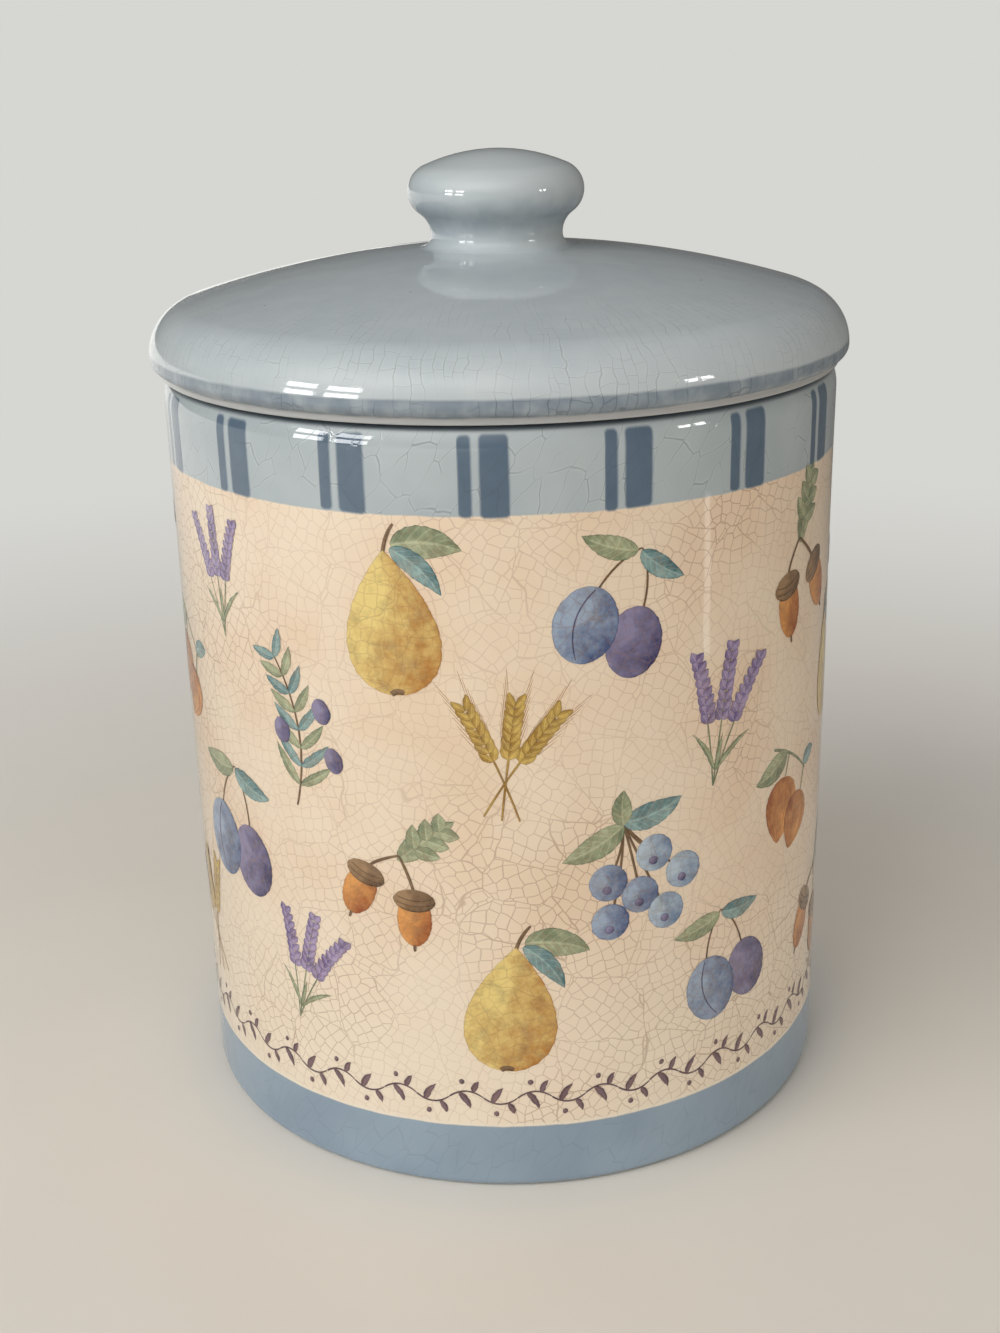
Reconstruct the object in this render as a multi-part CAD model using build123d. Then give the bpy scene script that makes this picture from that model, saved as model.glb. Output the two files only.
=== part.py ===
from build123d import *
import os
from math import hypot, sqrt

# A glazed earthenware storage canister with a lift-off domed lid, in millimetres.
# The origin is the middle of the foot ring, on the surface that the canister stands on, and +Z is up.
# The lid rests on the jar's rim. A plug ring under it drops into the mouth and carries a soft seal,
# and the knob is a separate pull whose spigot is set in a hole through the crown of the lid.

# Jar
jar_diameter = 152.0
jar_height = 171.0
jar_wall = 5.5
jar_floor = 6.5
foot_ring_width = 6.0
foot_ring_height = 2.2
foot_ring_inner_round = 1.0
base_edge_round = 2.5
rim_edge_round = 1.6
floor_corner_round = 9.0

# Lid: the lip stands on the rim, the flank rounds out from the lip to the equator, and the dome rises from there
lip_overhang = 0.3
lip_height = 1.2
lid_overhang = 2.4
lid_equator_height = 3.4
dome_rise = 21.6
dome_shoulder_round = 11.6
lid_shell = 5.5

# Plug ring under the lid, with a bead that keeps the seal on it
plug_depth = 12.0
plug_wall = 5.0
plug_gap = 4.0
bead_reach = 1.6
bead_height = 2.6
bead_round_share = 0.3

# Seal: a soft band round the plug with fins that reach out to the jar's bore
seal_band = 1.3
seal_groove_clearance = 0.1
seal_bore_clearance = 0.25
fin_count = 3
fin_root = 1.7
fin_tip = 0.8
fin_lift = 0.5

# Knob
knob_head_radius = 19.9
knob_neck_radius = 14.9
knob_foot_round = 3.0
knob_foot_edge = 0.3
knob_neck_rise = 8.8
knob_crown_rise = 9.2
knob_shoulder_round = 6.6
spigot_radius = 9.0
spigot_clearance = 0.1
vent_radius = 5.0
vent_depth = 18.0

# Worked out from the sizes above
jar_radius = jar_diameter / 2
bore_radius = jar_radius - jar_wall
floor_top = foot_ring_height + jar_floor
lip_radius = jar_radius + lip_overhang
lid_radius = jar_radius + lid_overhang
equator_top = jar_height + lid_equator_height
plug_neck_radius = bore_radius - plug_gap
plug_inner_radius = plug_neck_radius - plug_wall
plug_bottom = jar_height - plug_depth
bead_radius = plug_neck_radius + bead_reach
bead_top = plug_bottom + bead_height
bead_round = bead_height * bead_round_share
knob_foot_radius = knob_neck_radius + knob_foot_round
socket_radius = spigot_radius + spigot_clearance


def crown_radius(radius, rise, shoulder):
    """Radius of the crown arc, centred on the axis, that is tangent to an upright shoulder arc.

    The shoulder arc stands upright at the given radius, and the crown arc meets the axis at the given rise.
    """
    reach = radius - shoulder
    return (reach**2 + rise**2 - shoulder**2) / (2 * (rise - shoulder))


def shoulder_end(radius, base, rise, shoulder):
    """Point where the shoulder arc of a dome that starts at this height runs into its crown arc."""
    crown = crown_radius(radius, rise, shoulder)
    centre = base + rise - crown
    across = radius - shoulder
    along = base - centre
    stretch = crown / hypot(across, along)
    return (across * stretch, centre + along * stretch)


lid_crown_radius = crown_radius(lid_radius, dome_rise, dome_shoulder_round)
lid_crown_centre = equator_top + dome_rise - lid_crown_radius


def dome_height(radius, depth=0):
    """Height of the lid's crown arc at this radius, or of the arc that lies this deep under it."""
    return lid_crown_centre + sqrt((lid_crown_radius - depth) ** 2 - radius**2)


knob_land = dome_height(knob_foot_radius)
spigot_bottom = dome_height(socket_radius, lid_shell)
knob_neck_height = knob_land + knob_foot_edge + knob_foot_round
knob_head_height = knob_neck_height + knob_neck_rise


def turned(outline):
    """Solid made by turning a closed half section, radius across and height up, once round the Z axis."""
    return revolve(Plane.XZ * make_face(outline), axis=Axis.Z)


def jar_body():
    """Straight-sided pot with a rounded rim, a rounded inside corner and a raised foot ring."""
    foot_inner = jar_radius - foot_ring_width
    corners = [
        ((0, foot_ring_height), 0),
        ((foot_inner, foot_ring_height), foot_ring_inner_round),
        ((foot_inner, 0), 0),
        ((jar_radius, 0), base_edge_round),
        ((jar_radius, jar_height), rim_edge_round),
        ((bore_radius, jar_height), rim_edge_round),
        ((bore_radius, floor_top), floor_corner_round),
        ((0, floor_top), 0),
    ]
    points = [point for point, _ in corners]
    rounds = [corner_round for _, corner_round in corners]
    return turned(FilletPolyline(*points, radius=rounds, close=True).edges())


def lid_cover():
    """Domed lid with a flat land for the knob, a rounded flank, a lip and a beaded plug ring."""
    equator = (lid_radius, equator_top)
    lip_top = (lip_radius, jar_height + lip_height)
    meeting = shoulder_end(lid_radius, equator_top, dome_rise, dome_shoulder_round)
    land_edge = (knob_foot_radius, knob_land)
    under_edge = (plug_inner_radius, dome_height(plug_inner_radius, lid_shell))
    under_hole = (socket_radius, spigot_bottom)
    plug = [
        (lip_radius, jar_height),
        (plug_neck_radius, jar_height),
        (plug_neck_radius, bead_top),
        (bead_radius, bead_top),
        (bead_radius, plug_bottom),
        (plug_inner_radius, plug_bottom),
        under_edge,
    ]
    outline = [
        Line((socket_radius, knob_land), land_edge),
        RadiusArc(land_edge, meeting, lid_crown_radius),
        TangentArc(equator, meeting, tangent=(0, 1)),
        TangentArc(equator, lip_top, tangent=(0, -1)),
        Line(lip_top, (lip_radius, jar_height)),
        FilletPolyline(*plug, radius=[0, 0, bead_round, bead_round, bead_round]),
        RadiusArc(under_hole, under_edge, lid_crown_radius - lid_shell),
        Line(under_hole, (socket_radius, knob_land)),
    ]
    return turned([edge for curve in outline for edge in curve.edges()])


def lid_knob():
    """Pull with a domed head, a waisted neck, a flared foot and a hollow spigot that goes through the lid."""
    head = (knob_head_radius, knob_head_height)
    neck = (knob_neck_radius, knob_neck_height)
    waist = ((knob_neck_radius + knob_head_radius) / 2, (knob_neck_height + knob_head_height) / 2)
    crown = (0, knob_head_height + knob_crown_rise)
    meeting = shoulder_end(knob_head_radius, knob_head_height, knob_crown_rise, knob_shoulder_round)
    vent_top = spigot_bottom + vent_depth
    foot = (knob_foot_radius, knob_land + knob_foot_edge)
    outline = [
        TangentArc(crown, meeting, tangent=(1, 0)),
        TangentArc(head, meeting, tangent=(0, 1)),
        TangentArc(head, waist, tangent=(0, -1)),
        TangentArc(neck, waist, tangent=(0, 1)),
        TangentArc(neck, foot, tangent=(0, -1)),
        Polyline(
            foot,
            (knob_foot_radius, knob_land),
            (spigot_radius, knob_land),
            (spigot_radius, spigot_bottom),
            (vent_radius, spigot_bottom),
            (vent_radius, vent_top),
            (0, vent_top),
            crown,
        ),
    ]
    return turned([edge for curve in outline for edge in curve.edges()])


def lid_seal():
    """Band in the plug's groove with tapered fins, evenly spaced, that tilt up towards the jar's bore."""
    inner = plug_neck_radius + seal_groove_clearance
    outer = inner + seal_band
    tip = bore_radius - seal_bore_clearance
    bottom = bead_top + seal_groove_clearance
    top = jar_height - seal_groove_clearance
    pitch = (top - bottom) / fin_count
    points = [(inner, bottom), (outer, bottom)]
    for fin in range(fin_count):
        middle = bottom + (fin + 1 / 2) * pitch
        points += [
            (outer, middle - fin_root / 2),
            (tip, middle + fin_lift - fin_tip / 2),
            (tip, middle + fin_lift + fin_tip / 2),
            (outer, middle + fin_root / 2),
        ]
    points += [(outer, top), (inner, top)]
    return turned(Polyline(*points, close=True).edges())


os.makedirs("parts", exist_ok=True)
for make in (jar_body, lid_cover, lid_knob, lid_seal):
    export_step(make(), f"parts/{make.__name__}.step")
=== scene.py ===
import math

import bpy
import numpy as np
from mathutils import Matrix, Vector


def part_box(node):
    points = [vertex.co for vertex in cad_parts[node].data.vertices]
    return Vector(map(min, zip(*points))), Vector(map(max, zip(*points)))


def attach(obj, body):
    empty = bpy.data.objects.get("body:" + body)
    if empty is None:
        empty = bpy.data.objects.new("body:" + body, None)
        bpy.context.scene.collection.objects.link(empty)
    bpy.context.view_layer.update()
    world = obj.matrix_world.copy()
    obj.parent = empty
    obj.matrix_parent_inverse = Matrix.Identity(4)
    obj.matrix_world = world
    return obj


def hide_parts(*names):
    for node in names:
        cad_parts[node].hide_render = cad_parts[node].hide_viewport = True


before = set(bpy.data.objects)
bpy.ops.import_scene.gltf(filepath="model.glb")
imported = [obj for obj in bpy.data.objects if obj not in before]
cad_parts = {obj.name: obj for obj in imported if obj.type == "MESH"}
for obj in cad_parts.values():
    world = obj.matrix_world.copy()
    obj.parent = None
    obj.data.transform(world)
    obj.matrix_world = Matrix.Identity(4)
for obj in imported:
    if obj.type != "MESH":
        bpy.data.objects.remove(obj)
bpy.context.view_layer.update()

# Sizes that the frame gives, in metres
jar_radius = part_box("jar_body")[1].x
jar_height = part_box("jar_body")[1].z
lid_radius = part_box("lid_cover")[1].x
plug_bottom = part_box("lid_cover")[0].z
knob_slack = 0.0003
knob_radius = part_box("lid_knob")[1].x - knob_slack
knob_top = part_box("lid_knob")[1].z - knob_slack
spigot_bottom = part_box("lid_knob")[0].z
seal_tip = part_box("lid_seal")[1].x
seal_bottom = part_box("lid_seal")[0].z
seal_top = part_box("lid_seal")[1].z

# Jar
jar_wall = 0.0055
floor_top = 0.0087
foot_ring_width = 0.006
foot_ring_height = 0.0022
foot_ring_round = 0.0008
base_edge_round = 0.0025
rim_roll_radius = 0.010
rim_roll_turn = math.radians(24)
rim_edge_round = 0.0020
rim_slope_drop = 0.0006
rim_slope_width = 0.0006
bore_edge_round = 0.0013
floor_corner_round = 0.009
bore_radius = jar_radius - jar_wall

# Painted zones of the jar, as heights
foot_band_top = 0.0159
cream_top = 0.1530
stripe_top = 0.1687
# Heights between which the rim's edge under the lid's lip darkens: painted shade of the gap under the lid
rim_shade_low, rim_shade_high = 0.1689, 0.1700

# Lid
lip_overhang = 0.0003
lip_height = 0.0011
lip_round = 0.0005
lip_drop = 0.0003
seat_width = 0.0035
equator_rise = 0.0034
dome_rise = 0.0216
dome_shoulder_round = 0.0116
lid_shell = 0.0055
plug_gap = 0.004
plug_wall = 0.005
plug_corner_round = 0.004
bead_reach = 0.0016
bead_height = 0.0026
bead_round = 0.0008
socket_radius = 0.0091
tight_round_share = 0.8
lip_radius = jar_radius + lip_overhang
equator_height = jar_height + equator_rise
plug_radius = bore_radius - plug_gap
plug_inner_radius = plug_radius - plug_wall
bead_radius = plug_radius + bead_reach
bead_top = plug_bottom + bead_height

# Knob
knob_neck_radius = 0.0147
knob_foot_round = 0.0027
knob_crown_rise = 0.0088
knob_shoulder_round = 0.0060
knob_foot_depth = 0.0008
knob_waist_drop = 0.0135
spigot_radius = 0.009
spigot_round = 0.0006
vent_radius = 0.005
vent_depth = 0.018

# Seal
seal_clearance = 0.0001
seal_radius = plug_radius + seal_clearance
seal_band = 0.0013
seal_round = 0.0003
fin_count = 3
fin_root = 0.0017
fin_tip = 0.0008
fin_lift = 0.0005

# Fineness of the meshes
segments = 400
ring_step = 0.003
arc_step = 0.00025
arc_turn = math.radians(3.5)
fewest_arc_steps, fewest_run_steps = 5, 2
same_place = arc_step / 100

# Room that each material of a piece has on its unwrapped map, as shares
jar_map_shares = (5.0, 1.0, 1.0)
lid_map_shares = (4.0, 1.0, 0.5)
knob_map_shares = (4.0, 1.0)
seal_map_shares = (1.0,)

# Hand-made unevenness: each wave has its lobes round the axis, its waves up the height and its phase
uneven_depth = 0.00009
uneven_waves = [(2, 0.0, 0.6), (3, 9.0, 2.1), (5, -17.0, 4.0), (0, 60.0, 1.0)]
lid_phase = 1.0

# Photograph's camera: distances as shares of the jar's radius, pixels of the 1000 by 1333 picture
image_height = 1333
focal_pixels = 1725.8
sensor_size = 36.0
camera_distance_share = 5.5325
camera_aim_shares = (-0.0215, 0.0, 1.2520)
camera_elevation = math.radians(19.90)
camera_roll = math.radians(-1.365)
camera_clip_start = 0.01


# Profiles and meshes

def arc(centre, radius, start, end):
    """Arc about a centre from one angle to the other. Its step is arc_turn, within arc_step and ring_step."""
    step = min(max(arc_turn * radius, arc_step), ring_step)
    count = max(fewest_arc_steps, round(abs(end - start) * radius / step))
    angles = np.linspace(start, end, count + 1)
    return np.stack([centre[0] + radius * np.cos(angles), centre[1] + radius * np.sin(angles)], -1)


def run(start, end):
    """Straight run from start to end in steps of about ring_step."""
    start, end = np.asarray(start, float), np.asarray(end, float)
    count = max(fewest_run_steps, round(np.linalg.norm(end - start) / ring_step))
    return start + np.linspace(0, 1, count + 1)[:, None] * (end - start)


def joined(*pieces):
    """Pieces of a profile one after another, without the points that repeat where they meet."""
    points = np.concatenate(pieces)
    apart = np.linalg.norm(np.diff(points, axis=0), axis=1) > same_place
    return points[np.concatenate([[True], apart])]


def rounded(corners):
    """Straight runs through the corners, each (point, round), with an arc tangent to both runs at a round.

    The arc's centre lies on the bisector, at round / sin(half the angle), and it starts and ends at
    round / tan(half the angle) from the corner.
    """
    points = [np.asarray(point, float) for point, _ in corners]
    pieces = []
    place = points[0]
    for before, corner, after, (_, size) in zip(points, points[1:], points[2:], corners[1:]):
        back = (before - corner) / np.linalg.norm(before - corner)
        ahead = (after - corner) / np.linalg.norm(after - corner)
        half = math.acos(np.clip(back @ ahead, -1, 1)) / 2
        reach = size / math.tan(half)
        pieces.append(run(place, corner + back * reach))
        place = corner + ahead * reach
        if size:
            bisector = (back + ahead) / np.linalg.norm(back + ahead)
            centre = corner + bisector * size / math.sin(half)
            first, last = corner + back * reach - centre, place - centre
            start = math.atan2(first[1], first[0])
            turn = math.remainder(math.atan2(last[1], last[0]) - start, 2 * math.pi)
            pieces.append(arc(centre, size, start, start + turn))
    pieces.append(run(place, points[-1]))
    return joined(*pieces)


def dome(radius, base, rise, shoulder):
    """Crown radius and centre height of a dome, and the angle at which its shoulder arc meets its crown arc.

    The shoulder arc stands upright at the radius. The crown arc is centred on the axis and tangent to it.
    """
    reach = radius - shoulder
    crown = (reach**2 + rise**2 - shoulder**2) / (2 * (rise - shoulder))
    centre = base + rise - crown
    return crown, centre, math.atan2(base - centre, reach)


def uneven(angle, height, phase=0.0):
    """How far a hand-finished surface stands out: a sum of cosines of angle and height."""
    waves = [np.cos(lobes * angle + rise * height + shift + phase) for lobes, rise, shift in uneven_waves]
    return uneven_depth * np.sum(waves, axis=0)


def on_axis(radius, angle, height):
    """Points at a radius, an angle from the front (-Y) towards +X, and a height."""
    return np.stack(np.broadcast_arrays(radius * np.sin(angle), -radius * np.cos(angle), height), -1)


def linked(name, data):
    """New object with this data, linked into the scene."""
    made = bpy.data.objects.new(name, data)
    bpy.context.scene.collection.objects.link(made)
    return made


def piece(name, vertices, faces, materials, body, slot, *nodes):
    """Smooth mesh object at the origin, with its materials, that rides on a body and stands for CAD nodes."""
    mesh = bpy.data.meshes.new(name)
    mesh.from_pydata(vertices.tolist(), [], faces)
    mesh.polygons.foreach_set("use_smooth", np.ones(len(mesh.polygons), bool))
    for material in materials:
        mesh.materials.append(material)
    made = linked(name, mesh)
    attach(made, body)
    if nodes:
        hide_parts(*nodes)
    return made


def turned(name, zones, materials, map_shares, body, slot, *nodes, phase=0.0):
    """Closed skin of revolution of a profile given as zones, each (points, material number).

    Every profile point is a ring of the grid (point, angle). A profile that starts and ends on the axis has
    a pole there, where a quad leaves out the corner that repeats, and another closes on itself. The unwrapped
    map runs round the axis and along the profile, each zone's length weighted by its material's share.
    """
    points = joined(*[part for part, _ in zones])
    marks = np.concatenate([np.full(len(part) - 1, number) for part, number in zones])
    has_poles = points[0, 0] < same_place
    lengths = np.linalg.norm(np.diff(points, axis=0), axis=1) * np.asarray(map_shares)[marks]
    along = np.concatenate([[0], np.cumsum(lengths)]) / lengths.sum()
    rings = points[1:-1] if has_poles else points[:-1]
    angle = np.arange(segments) * 2 * math.pi / segments
    height = np.repeat(rings[:, 1:], segments, 1)
    radius = rings[:, :1] + uneven(angle, height, phase) * np.minimum(rings[:, :1] / jar_radius, 1)
    grid = on_axis(radius, angle, height).reshape(-1, 3)
    index = np.arange(len(grid)).reshape(len(rings), segments)
    poles = np.zeros((0, 3))
    if has_poles:
        poles = on_axis(0, 0, points[[0, -1], 1])
        bottom, top = [np.full((1, segments), len(grid) + number) for number in (0, 1)]
        index = np.concatenate([bottom, index, top])
    else:
        index = np.concatenate([index, index[:1]])
    after = np.roll(index, -1, axis=1)
    quads = np.stack([index[:-1], after[:-1], after[1:], index[1:]], -1).reshape(-1, 4)
    is_corner = quads != np.roll(quads, 1, axis=1)
    faces = [quad[kept].tolist() for quad, kept in zip(quads, is_corner)]
    made = piece(name, np.concatenate([grid, poles]), faces, materials, body, slot, *nodes)
    made.data.polygons.foreach_set("material_index", np.repeat(marks, segments).astype(np.int32))
    left = np.tile(np.arange(segments) / segments, len(marks))
    right = left + 1 / segments
    low, high = np.repeat(along[:-1], segments), np.repeat(along[1:], segments)
    corners = np.stack([left, low, right, low, right, high, left, high], -1).reshape(-1, 4, 2)
    map_places = corners[is_corner].ravel().astype(np.float32)
    made.data.uv_layers.new(name="OFBake").data.foreach_set("uv", map_places)


# Shader maths

class Signal:
    """One output of a material's nodes. Arithmetic on it adds Math nodes to that material."""

    def __init__(self, finish, socket):
        self.finish = finish
        self.socket = socket

    def __add__(self, other):
        return self.finish.math("ADD", self, other)

    def __sub__(self, other):
        return self.finish.math("SUBTRACT", self, other)

    def __rsub__(self, other):
        return self.finish.math("SUBTRACT", other, self)

    def __mul__(self, other):
        return self.finish.math("MULTIPLY", self, other)

    def __truediv__(self, other):
        return self.finish.math("DIVIDE", self, other)

    def __abs__(self):
        return self.finish.math("ABSOLUTE", self)

    __radd__ = __add__
    __rmul__ = __mul__


class Finish:
    """A material or the world being built. node() adds any node, and the other methods are short for it."""

    def __init__(self, owner, place="Object"):
        self.owner = owner
        owner.use_nodes = True
        self.tree = owner.node_tree
        self.place = self.node("TexCoord", output=place)

    def node(self, kind, settings=None, sockets=None, output=0):
        """A node of this type with its settings made first, then its sockets set or linked."""
        node = self.tree.nodes.new("ShaderNode" + kind)
        for name, value in (settings or {}).items():
            setattr(node, name, value)
        for key, value in (sockets or {}).items():
            self.set(node.inputs[key], value)
        return Signal(self, node.outputs[output])

    def set(self, socket, value):
        """Links a signal to a socket, or sets the socket's own value."""
        if isinstance(value, Signal):
            self.tree.links.new(value.socket, socket)
        else:
            socket.default_value = value

    def math(self, operation, *values):
        return self.node("Math", {"operation": operation}, dict(enumerate(values)))

    def vector(self, operation, *values, output=0):
        return self.node("VectorMath", {"operation": operation}, dict(enumerate(values)), output)

    def split(self, vector):
        """The three parts of a vector."""
        first = self.node("SeparateXYZ", None, {0: vector})
        return [Signal(self, socket) for socket in first.socket.node.outputs]

    def combine(self, x, y, z):
        return self.node("CombineXYZ", None, {0: x, 1: y, 2: z})

    def length(self, vector):
        return self.vector("LENGTH", vector, output=1)

    def turn(self, vector, angle):
        """A vector turned about Z."""
        return self.node("VectorRotate", {"rotation_type": "Z_AXIS"}, {"Vector": vector, "Angle": angle})

    def ramp(self, value, low, high, smooth=True):
        """0 at low and 1 at high, eased between them; low may be above high."""
        kind = "SMOOTHSTEP" if smooth else "LINEAR"
        if low > high:
            return 1 - self.ramp(value, high, low, smooth)
        return self.node("MapRange", {"interpolation_type": kind}, {0: value, 1: low, 2: high})

    def mix(self, share, first, second):
        """Colour that goes from the first to the second as share goes from 0 to 1."""
        return self.node("Mix", {"data_type": "RGBA"}, {0: share, 6: first, 7: second}, output=2)

    def noise(self, size, detail=2.0, place=None, output=0):
        """Soft noise about 0.5 whose lumps are about this size."""
        sockets = {"Vector": place or self.place, "Scale": 1 / size, "Detail": detail}
        return self.node("TexNoise", None, sockets, output)

    def clouds(self, size, detail, low, high):
        """Soft patches about this size: 0 where the noise is under low, 1 where it is over high."""
        return self.ramp(self.noise(size, detail), low, high)

    def sway(self, size, detail, depth, place=None):
        """Soft noise about zero, from -depth / 2 to depth / 2."""
        return (self.noise(size, detail, place) - 0.5) * depth

    def waver(self, size, detail):
        """Vector of three soft noises about zero."""
        return self.vector("SUBTRACT", self.noise(size, detail, output=1), (0.5, 0.5, 0.5))

    def cells(self, place, size, output, dimensions="3D", feature="F1", randomness=1.0):
        """Cells about this size: the nearest one's Color, its middle's Position or the Distance to it."""
        settings = {"feature": feature, "voronoi_dimensions": dimensions}
        where = "W" if dimensions == "1D" else "Vector"
        sockets = {where: place, "Scale": 1 / size, "Randomness": randomness}
        return self.node("TexVoronoi", settings, sockets, output)

    def edge(self, place, size, dimensions="3D", randomness=1.0):
        """Distance to the nearest edge of cells about this size."""
        return self.cells(place, size, "Distance", dimensions, "DISTANCE_TO_EDGE", randomness) * size

    def layers(self, colour, *layers):
        """Colour under layers, each (share, colour)."""
        for share, layer in layers:
            colour = self.mix(share, colour, layer)
        return colour

    def bump(self, height):
        return self.node("Bump", None, {"Strength": 1.0, "Distance": 1.0, "Height": height})

    def shade(self, **sockets):
        """Sets the shader's sockets, named with _ for a space, and returns the finished material."""
        shader = self.tree.nodes["Principled BSDF"]
        for name, value in sockets.items():
            self.set(shader.inputs[name.replace("_", " ")], value)
        return self.owner

    def show(self, output, surface):
        """Makes a shader the surface that the named output node shows."""
        self.set(self.tree.nodes[output].inputs["Surface"], surface)


def material(name):
    return Finish(bpy.data.materials.new(name))


def paint(red, green, blue):
    """Linear colour of a screen colour given from 0 to 255."""
    screen = np.array([red, green, blue]) / 255
    linear = np.where(screen <= 0.04045, screen / 12.92, ((screen + 0.055) / 1.055) ** 2.4)
    return (*linear.tolist(), 1.0)


# Colours
cream = paint(238, 221, 198)
cream_warm = paint(234, 210, 184)
cream_deep = paint(224, 201, 173)
cream_pale = paint(243, 232, 213)
crack_brown = paint(150, 108, 76)
band_blue = paint(180, 190, 194)
band_blue_deep = paint(170, 181, 186)
stripe_blue = paint(101, 119, 137)
stripe_blue_deep = paint(86, 103, 121)
foot_blue = paint(148, 167, 184)
foot_blue_deep = paint(138, 157, 175)
crack_slate = paint(84, 98, 108)
# Pale glaze beside cracks and in mottles; also painted light on the knob's crown
pale_glaze_and_painted_light = paint(204, 212, 214)
# Dark colour painted on the rim's edge as the shade under the lid's lip
rim_painted_shade = paint(62, 74, 86)
edge_white = paint(240, 230, 212)
lid_blue = paint(194, 203, 207)
lid_blue_deep = paint(187, 197, 203)
# Darker blue painted as shade on the lid's downward flank and under the knob's head
painted_shade_blue = paint(126, 139, 151)
lip_grey = paint(180, 182, 183)
lining_white = paint(240, 233, 218)
lining_warm = paint(228, 215, 192)
clay = paint(214, 190, 160)
clay_deep = paint(182, 152, 120)
silicone = paint(226, 226, 218)
silicone_deep = paint(204, 206, 198)
table = paint(242, 237, 228)
table_deep = paint(236, 230, 220)
backdrop = paint(214, 214, 210)

# Finish sizes
crack_cell = 0.0026
crack_line = 0.00013
crack_patch = 0.013
crack_depth = 0.00001
crack_stain = 0.045
crack_waver = 0.008
crack_waver_reach = 0.004
band_crack_cell = 0.0034
band_crack_stretch = 0.4
band_crack_line = 0.00012
band_crack_halo = 0.0003
band_crack_slant = math.radians(35)
band_crack_patch = 0.012
lid_crack_cell = 0.0026
lid_crack_stray = 0.0050
lid_crack_line = 0.00018
lid_crack_halo = 0.0004
lid_crack_patch = 0.009
lid_rung_cell = 0.0050
lid_cloud = 0.025
lid_mottle = 0.005
speck_pitch = 0.012
flank_rise = 0.0015
flank_top = equator_height + flank_rise
ripple_size = 0.0011
ripple_depth = 0.000006
paint_edge = 0.0002
paint_stray = 0.0005
paint_waver, paint_wander = 0.006, 0.03
field_cloud, field_shade = 0.022, 0.05
band_cloud = 0.016
foot_cloud = 0.02
stripe_count = 16
stripe_first = math.radians(-7.1)
stripe_crowding = 0.05
stripe_narrow = 0.0028
stripe_gap = 0.0016
stripe_wide = 0.0060
stripe_corner = 0.0010
stripe_edge = 0.0004
stripe_unevenness = 0.0012
stripe_waver = 0.012
stripe_cloud = 0.005
rule_rise = 0.0004
rule_width = 0.0006
glaze_swell = 0.014
glaze_swell_depth = 0.00012
glaze_grain = 0.0016
glaze_grain_depth = 0.000004
glaze_roughness = 0.035
lining_cloud = 0.025
lining_crack_scale = 1.5
clay_cloud = 0.006
clay_grain = 0.0009
clay_pit = 0.0007
clay_pit_depth = 0.0001
silicone_cloud = 0.01
silicone_grain = 0.0006
silicone_grain_depth = 0.00002
silicone_milk_depth = 0.002


def crack_net(coat, scale=1.0):
    """Net of glaze cracks, 1 on a crack: coarse cracks cut the glaze into patches with a finer net each.

    The finer net is flat, laid on the wall about the patch's middle and turned by an angle of its own, so
    its cracks stop at the coarse ones in T junctions. A noise moves the places so that no crack is straight.
    """
    cell, patch = crack_cell * scale, crack_patch * scale
    place = coat.vector("MULTIPLY_ADD", coat.waver(cell * 2.5, 1.0), (cell, cell, cell), coat.place)
    colour = coat.cells(place, patch, "Color")
    middle = coat.cells(place, patch, "Position")
    x, y, _ = coat.split(middle)
    across = coat.vector("NORMALIZE", coat.combine(0 - y, x, 0.0))
    apart = coat.vector("SUBTRACT", place, middle)
    aside = coat.vector("DOT_PRODUCT", apart, across, output=1)
    flat = coat.turn(coat.combine(aside, coat.split(apart)[2], 0.0), coat.split(colour)[0] * (2 * math.pi))
    coarse = coat.edge(place, patch)
    fine = coat.edge(coat.vector("ADD", flat, colour), cell, "2D", 0.45)
    width = crack_line * (0.5 + coat.noise(cell * 1.5, 1.0))
    return coat.math("MAXIMUM", *[1 - coat.ramp(edge / width, 0.2, 1.2) for edge in (coarse, fine)])


def glazed(coat, colour, cracks=0.0, ripple=0.0, roughness=glaze_roughness, **sockets):
    """Material of a fluid glaze: slow swells that make highlights waver, a fine grain and sunk cracks."""
    swell = coat.sway(glaze_swell, 1.0, glaze_swell_depth)
    grain = coat.sway(glaze_grain, 2.0, glaze_grain_depth)
    normal = coat.bump(swell + grain + ripple - crack_depth * cracks)
    return coat.shade(Base_Color=colour, Roughness=roughness, Normal=normal, **sockets)


def jar_glaze():
    """Outside of the jar: a pale blue band with stripes, a crackled cream field, a blue foot band and painted
    shade at the rim.
    """
    coat = material("jar_glaze")
    x, y, z = coat.split(coat.place)
    angle = coat.math("ARCTAN2", x, 0 - y)
    stray = coat.sway(paint_waver, 2.0, paint_stray) + coat.sway(paint_wander, 2.0, paint_stray)
    height = z + stray
    below = coat.ramp(height, foot_band_top + paint_edge, foot_band_top - paint_edge)
    above = coat.ramp(height, cream_top - paint_edge, cream_top + paint_edge)
    cracks, halo = slant_cracks(coat, angle * jar_radius, z)
    band = coat.mix(coat.clouds(band_cloud, 2.0, 0.3, 0.7), band_blue, band_blue_deep)
    band = coat.mix(halo * 0.25, band, pale_glaze_and_painted_light)
    foot = coat.mix(coat.clouds(foot_cloud, 3.0, 0.3, 0.7), foot_blue, foot_blue_deep)
    stripe = coat.mix(coat.noise(stripe_cloud, 3.0), stripe_blue, stripe_blue_deep)
    colour = coat.layers(
        cream_field(coat, z, height),
        (below, foot),
        (above, band),
        (stripes(coat, angle, z, stray), stripe),
        (cracks * (above * 0.4 + below * 0.15), crack_slate),
        # Painted shade: the rim's edge under the lid's lip darkens towards its top
        (coat.ramp(z, rim_shade_low, rim_shade_high) * 0.92, rim_painted_shade),
    )
    return glazed(coat, colour, cracks * above)


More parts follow.
